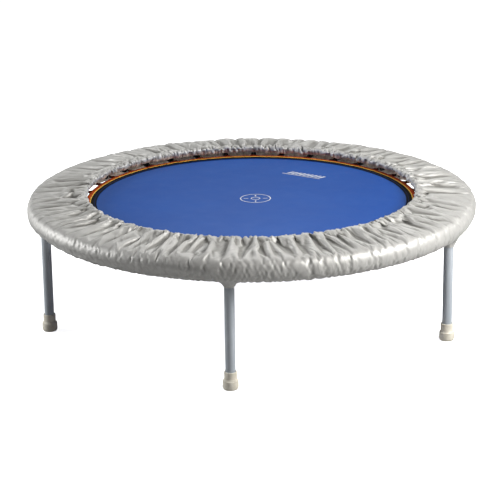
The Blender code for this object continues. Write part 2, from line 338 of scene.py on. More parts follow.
def satin_cloth():
    """The cover: silver-coated satin with a fine rib, small creases, a soft metallic gloss, and painted shade
    that darkens its fold valleys.
    """
    made, tree, main = shader("silver_satin", 0.42, metallic=0.40, sheen=0.1, specular=0.5)
    main.inputs["Sheen Roughness"].default_value = 0.4
    drift = noise_of(tree, 7.0, 6.0, 0.6)
    colour = colours_of(tree, drift, [(0.3, (0.53, 0.525, 0.505)), (0.7, (0.65, 0.645, 0.625))])
    # Painted shade: the fold attribute darkens the colour in the fold valleys and lightens it slightly on the
    # ridges.
    fold = add(tree, "ShaderNodeAttribute", attribute_name="fold")
    stops = [(0.05, (0.50, 0.495, 0.48)), (0.5, (0.92, 0.92, 0.92)), (0.9, (1.0, 1.0, 1.0))]
    print_wear_and_fold_shade = colours_of(tree, fold.outputs["Fac"], stops)
    both = add(tree, "ShaderNodeMix", data_type="RGBA", blend_type="MULTIPLY")
    both.inputs["Factor"].default_value = 1.0
    tree.links.new(colour, both.inputs[6])
    tree.links.new(print_wear_and_fold_shade, both.inputs[7])
    tree.links.new(both.outputs[2], main.inputs["Base Color"])
    rough(tree, main, noise_of(tree, 30.0, 3.0), 0.50, 0.62)
    crease = noise_of(tree, 85.0, 5.0, 0.6)
    small = bump(tree, main, crease, 0.0014, 0.25)
    first = bump(tree, main, long_creases(tree), 0.0030, 0.55, below=small)
    rib = combine(tree, threads_of(tree, 0.0009, "X"), threads_of(tree, 0.0009, "Y"))
    bump(tree, main, rib, 0.00012, 0.35, below=first)
    return made


def lining_cloth():
    """The inside of the cover: uncoated beige cloth."""
    return woven("cover_lining_cloth", (0.46, 0.35, 0.29), (0.86, 0.76, 0.66), 0.0012, 0.85, 0.05, 34.0)


def mat_cloth():
    """Woven blue jumping cloth with a slight gloss."""
    made, tree, main = shader("blue_jumping_cloth", 0.3, specular=0.2)
    main.inputs["Specular Tint"].default_value = (0.2, 0.7, 1.0, 1.0)
    warp = threads_of(tree, 0.0022, "X")
    weft = threads_of(tree, 0.0022, "Y")
    weave = combine(tree, warp, weft, "MAXIMUM")
    drift = noise_of(tree, 5.0, 6.0, 0.6)
    both = combine(tree, drift, weave, "ADD")
    half = add(tree, "ShaderNodeMath", operation="MULTIPLY")
    half.inputs[1].default_value = 0.5
    tree.links.new(both, half.inputs[0])
    colour = colours_of(tree, half.outputs[0], [(0.3, (0.003, 0.053, 0.31)), (0.85, (0.006, 0.085, 0.41))])
    tree.links.new(colour, main.inputs["Base Color"])
    rough(tree, main, noise_of(tree, 22.0, 4.0), 0.40, 0.52)
    bump(tree, main, weave, 0.0001, 0.25)
    return made


def powder_coat():
    """Blue-grey powder coat: fine orange peel, with faint rubbed patches."""
    made, tree, main = shader("blue_grey_powder_coat", 0.42, metallic=0.0, coat=0.15, specular=0.55)
    wear = noise_of(tree, 26.0, 6.0, 0.65, (1, 1, 0.25))
    colour = colours_of(tree, wear, [(0.30, (0.37, 0.41, 0.455)), (0.62, (0.465, 0.508, 0.555))])
    tree.links.new(colour, main.inputs["Base Color"])
    rough(tree, main, noise_of(tree, 60.0, 3.0), 0.36, 0.50)
    bump(tree, main, noise_of(tree, 900.0, 2.0), 0.00012, 0.5)
    return made


def cream_rubber():
    made, tree, main = shader("cream_rubber", 0.55, specular=0.4)
    dirt = noise_of(tree, 45.0, 6.0, 0.65)
    colour = colours_of(tree, dirt, [(0.30, (0.62, 0.575, 0.475)), (0.60, (0.80, 0.765, 0.67))])
    tree.links.new(colour, main.inputs["Base Color"])
    rough(tree, main, noise_of(tree, 80.0, 3.0), 0.48, 0.66)
    bump(tree, main, noise_of(tree, 500.0, 3.0), 0.0002, 0.4)
    return made


def worked_metal(name, dark, light, roughness, scale=120.0):
    made, tree, main = shader(name, roughness, metallic=0.9)
    grain = noise_of(tree, scale, 5.0, 0.6)
    tree.links.new(colours_of(tree, grain, [(0.35, dark), (0.65, light)]), main.inputs["Base Color"])
    rough(tree, main, grain, roughness - 0.08, roughness + 0.12)
    bump(tree, main, grain, 0.00015, 0.4)
    return made


def foam_pad():
    made, tree, main = shader("open_cell_foam", 0.95)
    cells = noise_of(tree, 700.0, 3.0, 0.7)
    drift = noise_of(tree, 18.0, 4.0)
    colour = colours_of(tree, drift, [(0.3, (0.50, 0.47, 0.41)), (0.7, (0.66, 0.63, 0.57))])
    tree.links.new(colour, main.inputs["Base Color"])
    bump(tree, main, cells, 0.0008, 0.8)
    return made


def white_print():
    made, tree, main = shader("white_print", 0.6)
    print_wear_and_fold_shade = noise_of(tree, 420.0, 4.0, 0.6)
    colour = colours_of(tree, print_wear_and_fold_shade, [(0.36, (0.33, 0.42, 0.62)), (0.50, (0.80, 0.82, 0.86))])
    tree.links.new(colour, main.inputs["Base Color"])
    bump(tree, main, print_wear_and_fold_shade, 0.0001, 0.3)
    return made


SILVER = satin_cloth()
LINING = lining_cloth()
BLUE = mat_cloth()
BLACK_TAPE = tape("black_binding", (0.004, 0.005, 0.006), (0.014, 0.015, 0.017))
NAVY_TAPE = tape("navy_binding", (0.008, 0.014, 0.05), (0.02, 0.032, 0.10))
YELLOW_TAPE = tape("yellow_webbing", (0.80, 0.42, 0.05), (1.0, 0.66, 0.13), 0.0012, 0.8, 0.2)
RED_TAPE = tape("rust_webbing", (0.34, 0.030, 0.004), (0.70, 0.12, 0.010))
RED_THREAD = woven("dark_red_thread", (0.10, 0.015, 0.008), (0.24, 0.04, 0.015), 0.0006, 0.7, patch=90.0)
TAB_TAPE = tape("dark_red_webbing", (0.03, 0.005, 0.002), (0.24, 0.028, 0.005))
STEEL = powder_coat()
RUBBER = cream_rubber()
SPRING_STEEL = worked_metal("black_spring_wire", (0.010, 0.010, 0.012), (0.045, 0.045, 0.05), 0.38)
ZINC = worked_metal("zinc_plate", (0.45, 0.45, 0.43), (0.66, 0.66, 0.64), 0.32)
FOAM = foam_pad()
PRINT = white_print()


# ---------------------------------------------------------------- ring and legs

def make_frame():
    """The ring tube with its five sockets, each with a blind hole from below, as one mesh."""
    columns = 288
    turn = np.arange(28) * math.tau / 28
    across = RING_RADIUS + TUBE_RADIUS * np.cos(turn)
    profile = np.stack([across, RING_HEIGHT - TUBE_RADIUS * np.sin(turn)], -1)
    points = [turned_points(profile, columns).reshape(-1, 3)]
    faces = grid_faces(len(profile), columns, True)[:, ::-1].tolist()
    count = len(profile) * columns
    top = RING_HEIGHT - 2.5 * MM
    bore = 5.3 * MM
    socket = [(bore, SOCKET_BOTTOM + 18 * MM), (bore, SOCKET_BOTTOM), (SOCKET_RADIUS, SOCKET_BOTTOM)]
    socket = rounded(socket + [(SOCKET_RADIUS, top), (4 * MM, top)], 0.9 * MM)
    sides = 40
    for place in LEG_PLACES:
        points.append(turned_points(socket, sides, (place.x, place.y)).reshape(-1, 3))
        faces += (grid_faces(len(socket), sides) + count).tolist()
        faces.append(cap_faces(count, sides, True))
        faces.append(cap_faces(count + (len(socket) - 1) * sides, sides, False))
        count += len(socket) * sides
    ring = new_piece("ring_tube", np.concatenate(points), faces, STEEL, "frame")
    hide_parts("frame_ring")


def make_welds():
    """A bead where each socket meets the underside of the tube."""
    paths = []
    for angle in LEG_ANGLES:
        path = []
        for turn in np.radians(np.arange(-78, 79, 4)):
            x = LEG_CIRCLE + (SOCKET_RADIUS + 0.3 * MM) * math.cos(turn)
            y = (SOCKET_RADIUS + 0.3 * MM) * math.sin(turn)
            across = math.hypot(x, y) - RING_RADIUS
            drop = math.sqrt(max(TUBE_RADIUS**2 - across**2, 0.0))
            ripple = 0.25 * MM * math.sin(turn * 31)
            path.append((x, y, RING_HEIGHT - drop - ripple))
        paths.append(turned_about(path, angle))
    points, faces = swept(paths, 1.5 * MM, 8)
    new_piece("socket_welds", points, faces, STEEL, "frame")


def foot_profile():
    """Inside of the cup, over the rim and down: a plain sleeve, a ridge, a wider shoe, a rounded sole."""
    hole = LEG_RADIUS + 0.2 * MM
    return rounded(
        [
            (0.4 * MM, 5 * MM),
            (hole, 5 * MM),
            (hole, 40 * MM),
            (14.2 * MM, 40 * MM),
            (14.0 * MM, 23.2 * MM),
            (14.9 * MM, 22.6 * MM),
            (15.0 * MM, 20.8 * MM),
            (17.2 * MM, 20.0 * MM),
            (17.5 * MM, 5.0 * MM),
            (15.6 * MM, 0.0),
            (0.4 * MM, 0.0),
        ],
        1.4 * MM,
    )


STUD_SIDES = 32


def stud_points(place):
    """A plug, a flange and a screw whose thread is cut by a rippled radius with a 2 mm lead."""
    pitch = 2 * MM
    plug = LEG_RADIUS - 1.8 * MM
    flange_top = SOCKET_BOTTOM - 0.3 * MM
    flange_low = TUBE_TOP + 0.3 * MM
    plug_low = TUBE_TOP - 16 * MM
    outline = [(0.4 * MM, plug_low), (plug, plug_low), (plug, flange_low)]
    outline += [(LEG_RADIUS, flange_low), (LEG_RADIUS, flange_top), (4.4 * MM, flange_top)]
    heights = np.arange(flange_top + 0.2 * MM, STUD_TOP - 0.6 * MM, pitch / 8)
    outline += [(5 * MM, z) for z in heights] + [(3.4 * MM, STUD_TOP), (0.4 * MM, STUD_TOP)]
    points = turned_points(outline, STUD_SIDES, (place.x, place.y))
    angle = np.arange(STUD_SIDES) * math.tau / STUD_SIDES
    first = len(outline) - len(heights) - 2
    for row in range(first, first + len(heights)):
        z = outline[row][1]
        phase = (z / pitch - angle / math.tau) % 1.0
        radius = 4.0 * MM + 0.95 * MM * np.minimum(1.0, 2.2 * np.minimum(phase, 1 - phase))
        points[row, :, 0] = place.x + radius * np.cos(angle)
        points[row, :, 1] = place.y + radius * np.sin(angle)
    return points, len(outline)


def make_leg(number, place):
    """One leg: the steel tube, the screw in its top and the rubber foot under it."""
    body = f"leg_{number}"
    centre = (place.x, place.y)
    inner = LEG_RADIUS - 1.5 * MM
    walls = [(LEG_RADIUS, TUBE_TOP), (LEG_RADIUS, TUBE_BOTTOM), (inner, TUBE_BOTTOM), (inner, TUBE_TOP)]
    tube = turned(f"{body}_steel_tube", walls, 56, STEEL, body, centre, ring=True)
    tube.data.set_sharp_from_angle(angle=math.radians(40))
    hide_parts(f"{body}_tube")
    points, rows = stud_points(place)
    faces = grid_faces(rows, STUD_SIDES).tolist()
    faces.append(cap_faces(0, STUD_SIDES, True))
    faces.append(cap_faces((rows - 1) * STUD_SIDES, STUD_SIDES, False))
    stud = new_piece(f"{body}_screw", points, faces, ZINC, body)
    stud.data.set_sharp_from_angle(angle=math.radians(50))
    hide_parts(f"{body}_stud")
    outline = foot_profile()[::-1]
    shoe = turned(f"{body}_rubber_foot", outline, 72, RUBBER, f"{body}_carrier", centre)
    shoe.data.set_sharp_from_angle(angle=math.radians(60))
    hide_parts(f"{body}_foot")


# ---------------------------------------------------------------- mat, edge and springs

def make_mat():
    """The jumping cloth: a thin closed disc with a slight unevenness from its pull."""
    columns = 180
    radii = np.concatenate([[0.5 * MM], np.linspace(12 * MM, MAT_RADIUS, 32)])
    angle = np.arange(columns) * math.tau / columns
    rows = []
    for side, height in ((1, MAT_TOP), (-1, MAT_BOTTOM)):
        for r in radii if side == 1 else radii[::-1]:
            x, y = r * np.cos(angle), r * np.sin(angle)
            lift = [0.35 * MM * noise.noise((a * 9, b * 9, 2.0)) for a, b in zip(x, y)]
            rows.append(np.stack([x, y, height - 0.35 * MM + np.array(lift)], -1))
    points = np.array(rows)
    faces = grid_faces(len(rows), columns)[:, ::-1].tolist()
    faces += [cap_faces(0, columns, False), cap_faces((len(rows) - 1) * columns, columns, True)]
    mat = new_piece("jumping_cloth", points, faces, BLUE, "mat")
    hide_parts("jumping_mat")
    return mat


def tape_ring(name, inner, outer, low, high, material):
    """A flat ring of tape with soft edges and a slightly raised middle."""
    mid = (low + high) / 2
    lip = min((high - low) / 2, 0.8 * MM)
    crown = ((inner + outer) / 2, high + 0.15 * MM)
    profile = [(inner, mid), (inner + lip, high), crown, (outer - lip, high)]
    profile += [(outer, mid), (outer - lip, low), (inner + lip, low)]
    return turned(name, profile[::-1], 288, material, "mat", ring=True)


def make_edge():
    """Black and navy bindings, a yellow webbing and a rust-red band, folded round the cloth's edge."""
    top, low = MAT_TOP - 0.1 * MM, MAT_BOTTOM - 1.2 * MM
    found = [
        tape_ring("black_inner_binding", 360.0 * MM, 363.8 * MM, top, MAT_TOP + 0.7 * MM, BLACK_TAPE),
        tape_ring("navy_binding", 363.4 * MM, 366.8 * MM, top, MAT_TOP + 0.9 * MM, NAVY_TAPE),
        tape_ring("black_edge_binding", 366.4 * MM, 373.8 * MM, top, MAT_TOP + 1.2 * MM, BLACK_TAPE),
        tape_ring("yellow_edge_webbing", 373.5 * MM, 376.4 * MM, top, MAT_TOP + 1.6 * MM, YELLOW_TAPE),
        tape_ring("rust_edge_band", 376.1 * MM, BAND_OUTER, low, MAT_TOP + 1.4 * MM, RED_TAPE),
        tape_ring("edge_underside_tape", 368 * MM, 378 * MM, low, MAT_BOTTOM + 0.1 * MM, RED_TAPE),
    ]
    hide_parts("mat_edge_band")
    return found


def make_stitches():
    """Rows of lockstitch round the webbing: short thread bridges with a dip at each end."""
    paths = []
    for radius, count in ((378.6 * MM, 420), (384.0 * MM, 430)):
        height = MAT_TOP + 1.6 * MM
        for k in range(count):
            middle = k * math.tau / count
            half = 0.36 * math.tau / count
            path = []
            for t in (-1.0, -0.5, 0.5, 1.0):
                angle = middle + half * t
                path.append((radius * math.cos(angle), radius * math.sin(angle), height - 0.5 * MM * t**4))
            paths.append(path)
    points, faces = swept(paths, 0.28 * MM, 4)
    return new_piece("edge_stitching", points, faces, RED_THREAD, "mat")


def spring_angles():
    """The bearing of each spring, from the middle of its box."""
    found = []
    for name in SPRING_NAMES:
        low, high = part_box(name)
        found.append(math.atan2(low[1] + high[1], low[0] + high[0]))
    return found


def make_tabs():
    """Folded webbing tabs that narrow to the steel rings, all in one piece."""
    sections = [
        (BAND_OUTER - 3 * MM, 18.0 * MM, 1.2 * MM),
        (BAND_OUTER + 0.5 * MM, 14.0 * MM, 1.3 * MM),
        (BAND_OUTER + 2.5 * MM, 10.8 * MM, 1.4 * MM),
        (BAND_OUTER + 5 * MM, 8.2 * MM, 1.6 * MM),
        (BAND_OUTER + 9 * MM, 6.0 * MM, 2.0 * MM),
        (BAND_OUTER + 11.5 * MM, 5.6 * MM, 1.7 * MM),
        (BAND_OUTER + 12.5 * MM, 5.2 * MM, 0.6 * MM),
    ]
    middle = (MAT_TOP + MAT_BOTTOM) / 2
    points, faces = [], []
    around = [(1, 0), (0.8, 0.8), (0, 1), (-0.8, 0.8), (-1, 0), (-0.8, -0.8), (0, -1), (0.8, -0.8)]
    for angle in spring_angles():
        start = len(points) * len(sections) * len(around)
        block = [[(x, w * a, middle + t * b) for a, b in around] for x, w, t in sections]
        points.append(turned_about(np.array(block), angle))
        faces += (grid_faces(len(sections), len(around)) + start).tolist()
        faces.append(cap_faces(start, len(around), True))
        faces.append(cap_faces(start + (len(sections) - 1) * len(around), len(around), False))
    return new_piece("spring_tabs", np.array(points), faces, TAB_TAPE, "mat")


def make_tab_rings():
    """Triangular wire rings: one side lies in the tab's fold and the point takes the spring hook."""
    middle = (MAT_TOP + MAT_BOTTOM) / 2
    corners = [(394.5, -6.6), (394.5, 6.6), (397.5, 7.0), (402.5, 1.4), (402.5, -1.4), (397.5, -7.0)]
    loop = [(x * MM, y * MM, middle) for x, y in corners]
    loop.append(loop[0])
    path = smooth_path(loop, 4)
    points, faces = swept([turned_about(path, angle) for angle in spring_angles()], 1.1 * MM, 6)
    return new_piece("tab_rings", points, faces, SPRING_STEEL, "mat")


def spring_path():
    """The wire of one spring lying along +X: inner hook, close coil, outer hook into the tube."""
    coil_radius, turns, steps = 5.5 * MM, 23, 11
    inner, outer = 410 * MM, 462 * MM
    z = SPRING_HEIGHT
    count = turns * steps
    k = np.arange(count + 1)
    angle = k * math.tau / steps + math.pi / 2
    across = inner + (outer - inner) * k / count
    coil = np.stack([across, coil_radius * np.cos(angle), z + coil_radius * np.sin(angle)], -1)
    start = [(399.6, 0.0, -2.6), (398.2, 0.0, 0.6), (400.6, 0.0, 3.2), (404.5, 0.3, 3.4), (408.2, 1.4, 4.6)]
    end = [(464.0, -1.4, 4.8), (468.5, -0.4, 3.6), (478.0, 0.0, 3.4)]
    end += [(484.6, 0.0, 3.3), (488.4, 0.0, -0.6), (490.0, 0.0, -3.4)]
    lead_in = smooth_path([(x * MM, y * MM, z + h * MM) for x, y, h in start] + [coil[0]], 3)
    lead_out = smooth_path([coil[-1]] + [(x * MM, y * MM, z + h * MM) for x, y, h in end], 3)
    return np.vstack([lead_in[:-1], coil, lead_out[1:]])


def make_springs():
    """Each spring stretches from its hook in the ring to its tab ring on the mat."""
    points, faces = swept([spring_path()], 1.0 * MM, 5)
    for name, angle in zip(SPRING_NAMES, spring_angles()):
        places = turned_about(points, angle)
        wire = new_piece(f"{name}_coil", places, faces, SPRING_STEEL, None)
        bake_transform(wire)
        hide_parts(name)


def make_prints():
    """Plain white prints: a round target in the middle and a small striped bar towards the rim."""
    height = MAT_TOP + 0.12 * MM
    points, faces = [], []

    def ribbon(edge_a, edge_b):
        start = len(points)
        count = len(edge_a)
        for a, b in zip(edge_a, edge_b):
            points.append((*a, height))
            points.append((*b, height))
        for k in range(count - 1):
            i = start + 2 * k
            faces.append((i, i + 1, i + 3, i + 2))

    centre = Vector((9.7 * MM, 0.0))

    def arc(radius, width, first, last, steps):
        turn = np.linspace(first, last, steps)
        outer = [tuple(centre + Vector((math.cos(t), math.sin(t))) * radius) for t in turn]
        inner = [tuple(centre + Vector((math.cos(t), math.sin(t))) * (radius - width)) for t in turn]
        ribbon(inner, outer)

    arc(36 * MM, 2.4 * MM, 0.0, math.tau, 97)
    arc(11 * MM, 2.2 * MM, 0.0, math.tau, 49)
    for k in range(4):
        way = Vector((math.cos(k * math.pi / 2), math.sin(k * math.pi / 2)))
        side = way.orthogonal() * (1.3 * MM)
        a, b = centre + way * (17 * MM), centre + way * (28 * MM)
        ribbon([tuple(a + side), tuple(b + side)], [tuple(a - side), tuple(b - side)])
    bearing = math.radians(57)
    out = Vector((math.cos(bearing), math.sin(bearing)))
    along = Vector((out.y, -out.x))
    for k in range(9):
        a = out * (232 * MM) + along * ((k - 4) * 11 * MM - 3 * MM)
        b = out * (250 * MM) + along * ((k - 4) * 11 * MM + 4 * MM)
        ribbon([tuple(a), tuple(b)], [tuple(a + along * (6 * MM)), tuple(b + along * (6 * MM))])
    a, b = out * (225 * MM) - along * (56 * MM), out * (225 * MM) + along * (50 * MM)
    ribbon([tuple(a), tuple(b)], [tuple(a + out * (2.6 * MM)), tuple(b + out * (2.6 * MM))])
    return new_piece("white_prints", points, faces, PRINT, "mat", smooth=False)


# ---------------------------------------------------------------- cover and foam

# The cover's section, in millimetres of radius and height: from the inner hem over the elastic edge,
# the foam and the outer roll to the lip under the ring. Distances along it start at the inner hem.
COVER_PROFILE = [
    (397.0, 292.8), (391.6, 291.0), (386.8, 292.6), (383.2, 297.2), (381.4, 302.6), (382.0, 307.6),
    (385.6, 311.2), (391.0, 309.6), (399.0, 305.4), (412.0, 302.8), (436.0, 301.8), (465.0, 302.2),
    (488.0, 302.0), (503.0, 299.6), (512.4, 293.6), (518.2, 284.4), (520.0, 273.0), (517.6, 262.0),
    (511.6, 252.6), (503.0, 246.6), (493.0, 243.4), (482.0, 242.2), (473.0, 243.8), (467.6, 248.6),
    (466.0, 256.0), (467.4, 266.0), (470.4, 276.6),
]
UNDERSIDE = COVER_PROFILE[16:25]
SIM_ROWS, SIM_COLUMNS = 46, 720
COVER_ROWS, COVER_COLUMNS = 70, 1440
UNCUT_RADIUS = 536 * MM
COVER_TILT = 0.9
TUCK_BEARING = math.radians(-131)
TUCK_DEPTH = 7 * MM
DEEPEST_FOLD = 6.5 * MM
HEM_WIDTH = 15 * MM
LIP_WIDTH = 50 * MM
UNDERSIDE_TOP = 260 * MM


def cover_rows(count):
    """Radius, height, outward normal and distance along the cover's profile, evenly spaced."""
    line = smooth_path([(r * MM, 0.0, z * MM) for r, z in COVER_PROFILE], 8)
    length = np.concatenate([[0.0], np.cumsum(np.linalg.norm(np.diff(line, axis=0), axis=1))])
    at = np.linspace(0.0, length[-1], count)
    radius = np.interp(at, length, line[:, 0])
    height = np.interp(at, length, line[:, 2])
    along_r, along_z = np.gradient(radius), np.gradient(height)
    size = np.hypot(along_r, along_z)
    return radius, height, -along_z / size, along_r / size, at


def blend_of(value, low, high):
    """A smooth step from 0 at low to 1 at high."""
    t = np.clip((value - low) / (high - low), 0.0, 1.0)
    return t * t * (3 - 2 * t)


def random_waves(angle, low, high, seed):
    """A smooth random line round the ring, made of waves that go round between low and high times."""
    pick = np.random.default_rng(seed)
    found = np.zeros_like(angle)
    for count in range(low, high):
        found += pick.normal() * np.cos(count * angle + pick.uniform(0, math.tau))
    return found / math.sqrt(high - low)


def gathered(start, target, holds):
    """Gathers a strip of cloth: its hems are pulled in from where it is smooth, and the rest follows."""
    rows, columns = start.shape[:2]
    mesh = bpy.data.meshes.new("cloth_strip")
    mesh.from_pydata(start.reshape(-1, 3).tolist(), [], grid_faces(rows, columns).tolist())
    strip = bpy.data.objects.new("cloth_strip", mesh)
    bpy.context.scene.collection.objects.link(strip)
    strip.shape_key_add(name="Basis")
    key = strip.shape_key_add(name="gathered")
    key.data.foreach_set("co", target.reshape(-1))
    key.value = 0.0
    key.keyframe_insert("value", frame=1)
    key.value = 1.0
    key.keyframe_insert("value", frame=16)
    hold = strip.vertex_groups.new(name="hold")
    for i in range(rows):
        hold.add(list(range(i * columns, (i + 1) * columns)), float(holds[i]), "REPLACE")
    cloth = strip.modifiers.new("Gather", "CLOTH")
    how = cloth.settings
    how.quality = 5
    how.mass = 0.3
    how.air_damping = 2
    how.tension_stiffness = how.compression_stiffness = 15
    how.shear_stiffness = 5
    how.bending_stiffness = 12
    how.vertex_group_mass = "hold"
    how.effector_weights.gravity = 0.0
    cloth.collision_settings.use_collision = False
    frames = 24
    cloth.point_cache.frame_end = frames
    for step in range(1, frames + 1):
        bpy.context.scene.frame_set(step)
    relaxed = strip.evaluated_get(bpy.context.evaluated_depsgraph_get()).data
    found = np.empty(rows * columns * 3)
    relaxed.vertices.foreach_get("co", found)
    bpy.data.objects.remove(strip)
    bpy.context.scene.frame_set(1)
    return found.reshape(rows, columns, 3)


def spread(grid, count, closed):
    """The same grid with count rows, through a smooth curve along its first axis."""
    rows = len(grid)
    place = np.arange(count) * rows / count if closed else np.linspace(0, rows - 1, count)
    first = np.minimum(place.astype(int), rows - 1)
    t = (place - first)[:, None, None]

    def row(offset):
        picked = first + offset
        return grid[picked % rows if closed else np.clip(picked, 0, rows - 1)]

    return catmull_rom(row(-1), row(0), row(1), row(2), t)


def turned_line(radii, heights, angle):
    """A line of (radius, height) points turned round Z, as a grid of points."""
    wide = np.asarray(radii)[:, None]
    high = np.broadcast_to(np.asarray(heights)[:, None], (len(radii), len(angle)))
    return np.stack([wide * np.cos(angle), wide * np.sin(angle), high], -1)


def folds_lean(angle):
    """How far the folds lean sideways, in radians round the ring for each metre across the strip."""
    return COVER_TILT * random_waves(angle, 3, 12, 5)


def folded(section, angle):
    """The section turned round the ring with shallow waves, and the skirt tucked in at the front left."""
    radius, height, out_r, out_z, at = section
    free = 1 - blend_of(at, at[-1] - 90 * MM, at[-1] - 30 * MM)
    middle = blend_of(at, 17 * MM, 39 * MM) * free
    turned_by = angle + folds_lean(angle) * at[:, None]
    wave = 1.1 * MM * random_waves(turned_by, 24, 110, 2)
    left = blend_of(np.cos(angle - TUCK_BEARING), 0.80, 0.93)
    tuck = blend_of(at, 180 * MM, 202 * MM) * (1 - blend_of(at, 216 * MM, 236 * MM))
    wave = wave * (1 - 0.8 * left * blend_of(at, 145 * MM, 160 * MM)[:, None])
    wave = wave - TUCK_DEPTH * left * tuck[:, None]
    r = radius[:, None] + (out_r * middle)[:, None] * wave
    z = height[:, None] + (out_z * middle)[:, None] * wave
    return np.stack([r * np.cos(angle), r * np.sin(angle), z], -1)


def uncut_strip(section, angle):
    """The cover before it is gathered: an upright cylinder, slightly uneven so that folds can start."""
    height, at = section[1], section[4]
    wide = UNCUT_RADIUS + 0.5 * MM * random_waves(angle, 40, 200, 1)
    strip = turned_line(np.full(len(at), 1.0), height[-1] + at[-1] - at, angle)
    strip[..., :2] *= wide[:, None]
    return strip


def holding(at):
    """How firmly each row is held to its place: the hems fully, the rest softly."""
    edge = 1 - blend_of(at, 27 * MM, 51 * MM)
    roll = blend_of(at, 138 * MM, 168 * MM)
    holds = 0.19 + 0.31 * edge + 0.30 * roll
    holds[(at < 10 * MM) | (at > at[-1] - 4 * MM)] = 1.0
    return holds


def kept_shallow(grid, section, angle):
    """The same surface with its folds no deeper than they can go before they meet the foam."""
    radius, height, out_r, out_z = section[:4]
    out = turned_line(out_r, out_z, angle)
    plain = turned_line(radius, height, angle)
    depth = ((grid - plain) * out).sum(-1)
    shallow = -DEEPEST_FOLD * np.tanh(depth / -DEEPEST_FOLD)
    return grid + out * np.where(depth < 0, shallow - depth, 0.0)[..., None]


def cover_surface():
    """The gathered cover as a grid of points, and the distance of each row from the inner hem."""
    section = cover_rows(SIM_ROWS)
    at = section[4]
    angle = np.arange(SIM_COLUMNS) * math.tau / SIM_COLUMNS
    grid = folded(section, angle)
    grid = gathered(uncut_strip(section, angle), grid, holding(at))
    grid = kept_shallow(grid, section, angle)
    grid = spread(grid, COVER_ROWS, False)
    grid = spread(grid.transpose(1, 0, 2), COVER_COLUMNS, True).transpose(1, 0, 2)
    return grid, np.linspace(0.0, at[-1], COVER_ROWS)


def normals_of(grid):
    """Outward normals of a grid that goes round Z: up at its middle row."""
    across = np.roll(grid, -1, 1) - np.roll(grid, 1, 1)
    down = np.gradient(grid, axis=0)
    found = np.cross(across, down)
    found = found / np.maximum(np.linalg.norm(found, axis=-1, keepdims=True), 1e-9)
    return -found if found[len(grid) // 2, :, 2].mean() < 0 else found


def shade_folds(piece, values):
    """How deep in a fold each point lies, from 0 in a valley to 1 on a ridge, for painted shade in the
    cloth's colour: darker in the valleys, slightly lighter on the ridges.
    """
    fold = piece.data.attributes.new("fold", "FLOAT", "POINT")
    fold.data.foreach_set("value", np.asarray(values, float).reshape(-1))


def puckers(at, angle):
    """Small puckers and tufts at the elastic edge, a ragged hem and a bunched lip, as lift in millimetres."""
    frill = blend_of(at, 10 * MM, 19 * MM) * (1 - blend_of(at, 29 * MM, 49 * MM))
    crown = blend_of(at, 9 * MM, 21 * MM) * (1 - blend_of(at, 25 * MM, 41 * MM))
    ragged = 1 - blend_of(at, 13 * MM, 21 * MM)
    bunched = blend_of(at, at[-1] - 60 * MM, at[-1] - 30 * MM)
    ways = [(math.cos(a), math.sin(a)) for a in angle]
    lift = np.zeros((len(at), len(angle)))
    for i, s in enumerate(at / MM):
        if frill[i] > 0 or ragged[i] > 0:
            for j, (c, d) in enumerate(ways):
                fine = noise.noise((c * 95, d * 95, s * 0.09))
                tuft = noise.noise((c * 62, d * 62, s * 0.05 + 5.0))
                flap = noise.noise((c * 17, d * 17, s * 0.06 + 9.0))
                lift[i, j] = frill[i] * 2.8 * fine + crown[i] * 1.5 * tuft + ragged[i] * 4.2 * flap
        elif bunched[i] > 0:
            for j, (c, d) in enumerate(ways):
                lift[i, j] = bunched[i] * 4.2 * noise.noise((c * 34, d * 34, s * 0.07))
    return lift


def faces_clear_of_legs(points):
    """The cover's faces without those that the leg sockets go through."""
    places = [(p.x, p.y) for p in LEG_PLACES]
    corners = points.reshape(-1, 3)
    faces = []
    for face in grid_faces(*points.shape[:2]):
        x, y, z = corners[face[0]]
        under = z < UNDERSIDE_TOP
        if not (under and min(math.hypot(x - a, y - b) for a, b in places) < SOCKET_RADIUS - 1 * MM):
            faces.append(face.tolist())
    return faces


def lay_creases(cover, at, angle):
    """Each point's place on the strip of cloth, drawn out across it, for the material's creases."""
    turned_by = angle + folds_lean(angle) * at[:, None]
    across = np.broadcast_to(CREASE_STRETCH * at[:, None], turned_by.shape)
    places = np.stack([CREASE_RADIUS * np.cos(turned_by), CREASE_RADIUS * np.sin(turned_by), across], -1)
    strip = cover.data.attributes.new("strip", "FLOAT_VECTOR", "POINT")
    strip.data.foreach_set("vector", places.reshape(-1))


